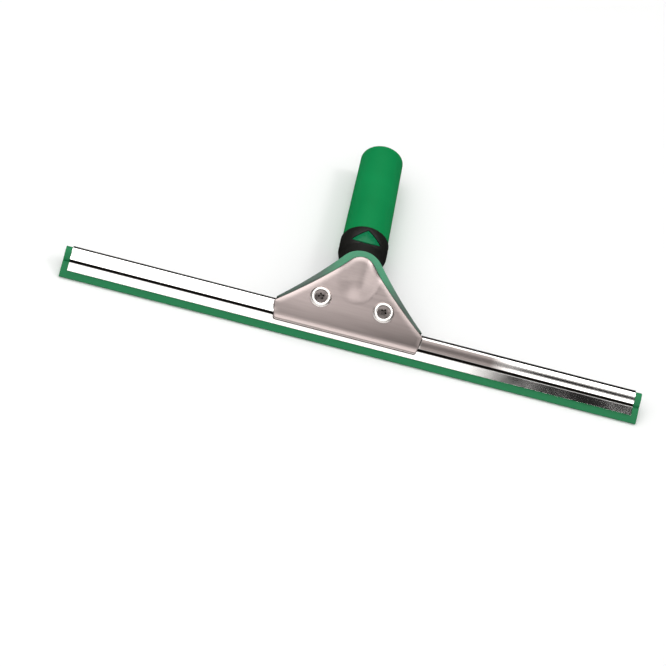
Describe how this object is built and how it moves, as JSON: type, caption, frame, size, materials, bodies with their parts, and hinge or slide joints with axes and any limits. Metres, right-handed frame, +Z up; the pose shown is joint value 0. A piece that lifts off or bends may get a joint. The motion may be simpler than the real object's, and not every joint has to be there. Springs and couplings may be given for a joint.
{
  "type": "window squeegee",
  "caption": "Hand-held window squeegee with a rubber blade in a steel channel, a screwed jaw clamp, a bent handle with a soft grip, and a latching socket for an extension pole.",
  "frame": {"origin": "middle of the tool's footprint, on the table it lies on", "axes": "+X along the blade, +Y from the blade to the handle's tail, +Z up from the table, on the side of the clamp's screws"},
  "size_m": [0.3582, 0.1554, 0.0372],
  "materials": {
    "core_plastic": "moulded green polypropylene, fine satin",
    "neck_elastomer": "black soft-touch elastomer, matte",
    "grip_elastomer": "green soft-touch elastomer, matte",
    "pad_rubber": "black sheet rubber, matte",
    "satin_steel": "pressed stainless steel, satin blasted",
    "zinc_steel": "bright zinc-plated steel",
    "screw_steel": "bright stainless steel",
    "polished_steel": "mirror-polished stainless steel",
    "blade_rubber": "green blade rubber, smooth",
    "button_plastic": "moulded green acetal, semi-gloss"
  },
  "bodies": {
    "handle": {"handle_frame": "core_plastic", "neck_sleeve": "neck_elastomer", "grip_sleeve": "grip_elastomer", "rear_pad": "pad_rubber", "nut_left": "zinc_steel", "nut_right": "zinc_steel", "latch_spring": "screw_steel"},
    "jaw": {"front_jaw": "satin_steel", "front_pad": "pad_rubber", "washer_left": "zinc_steel", "washer_right": "zinc_steel"},
    "left_screw": {"screw_left": "screw_steel"},
    "right_screw": {"screw_right": "screw_steel"},
    "blade_channel": {"channel": "polished_steel"},
    "blade_rubber": {"rubber_blade": "blade_rubber"},
    "latch": {"latch_button": "button_plastic"}
  },
  "joints": [
    {"name": "jaw_open", "type": "slide", "parent": "handle", "child": "jaw", "axis": [0, -0.5, 0.866], "range_m": [0, 0.0016]},
    {"name": "screw_left_turn", "type": "hinge", "parent": "jaw", "child": "left_screw", "pos_m": [-0.0239, -0.05429, 0.01403], "axis": [0, -0.5, 0.866], "range_deg": [0, 722]},
    {"name": "screw_right_turn", "type": "hinge", "parent": "jaw", "child": "right_screw", "pos_m": [0.0149, -0.05429, 0.01403], "axis": [0, -0.5, 0.866], "range_deg": [0, 722]},
    {"name": "channel_slide", "type": "slide", "parent": "handle", "child": "blade_channel", "axis": [1, 0, 0], "range_m": [-0.12, 0.12]},
    {"name": "rubber_slide", "type": "slide", "parent": "blade_channel", "child": "blade_rubber", "axis": [1, 0, 0], "range_m": [-0.3, 0.3]},
    {"name": "button_press", "type": "slide", "parent": "handle", "child": "latch", "axis": [0, 0, -1], "range_m": [0, 0.002], "stiffness_N_per_m": 600, "springref_m": -0.002, "deforming": ["latch_spring"]}
  ],
  "couplings": [
    {"joint": "screw_left_turn", "follows": "jaw_open", "rad_per_m": 7854},
    {"joint": "screw_right_turn", "follows": "jaw_open", "rad_per_m": 7854}
  ]
}
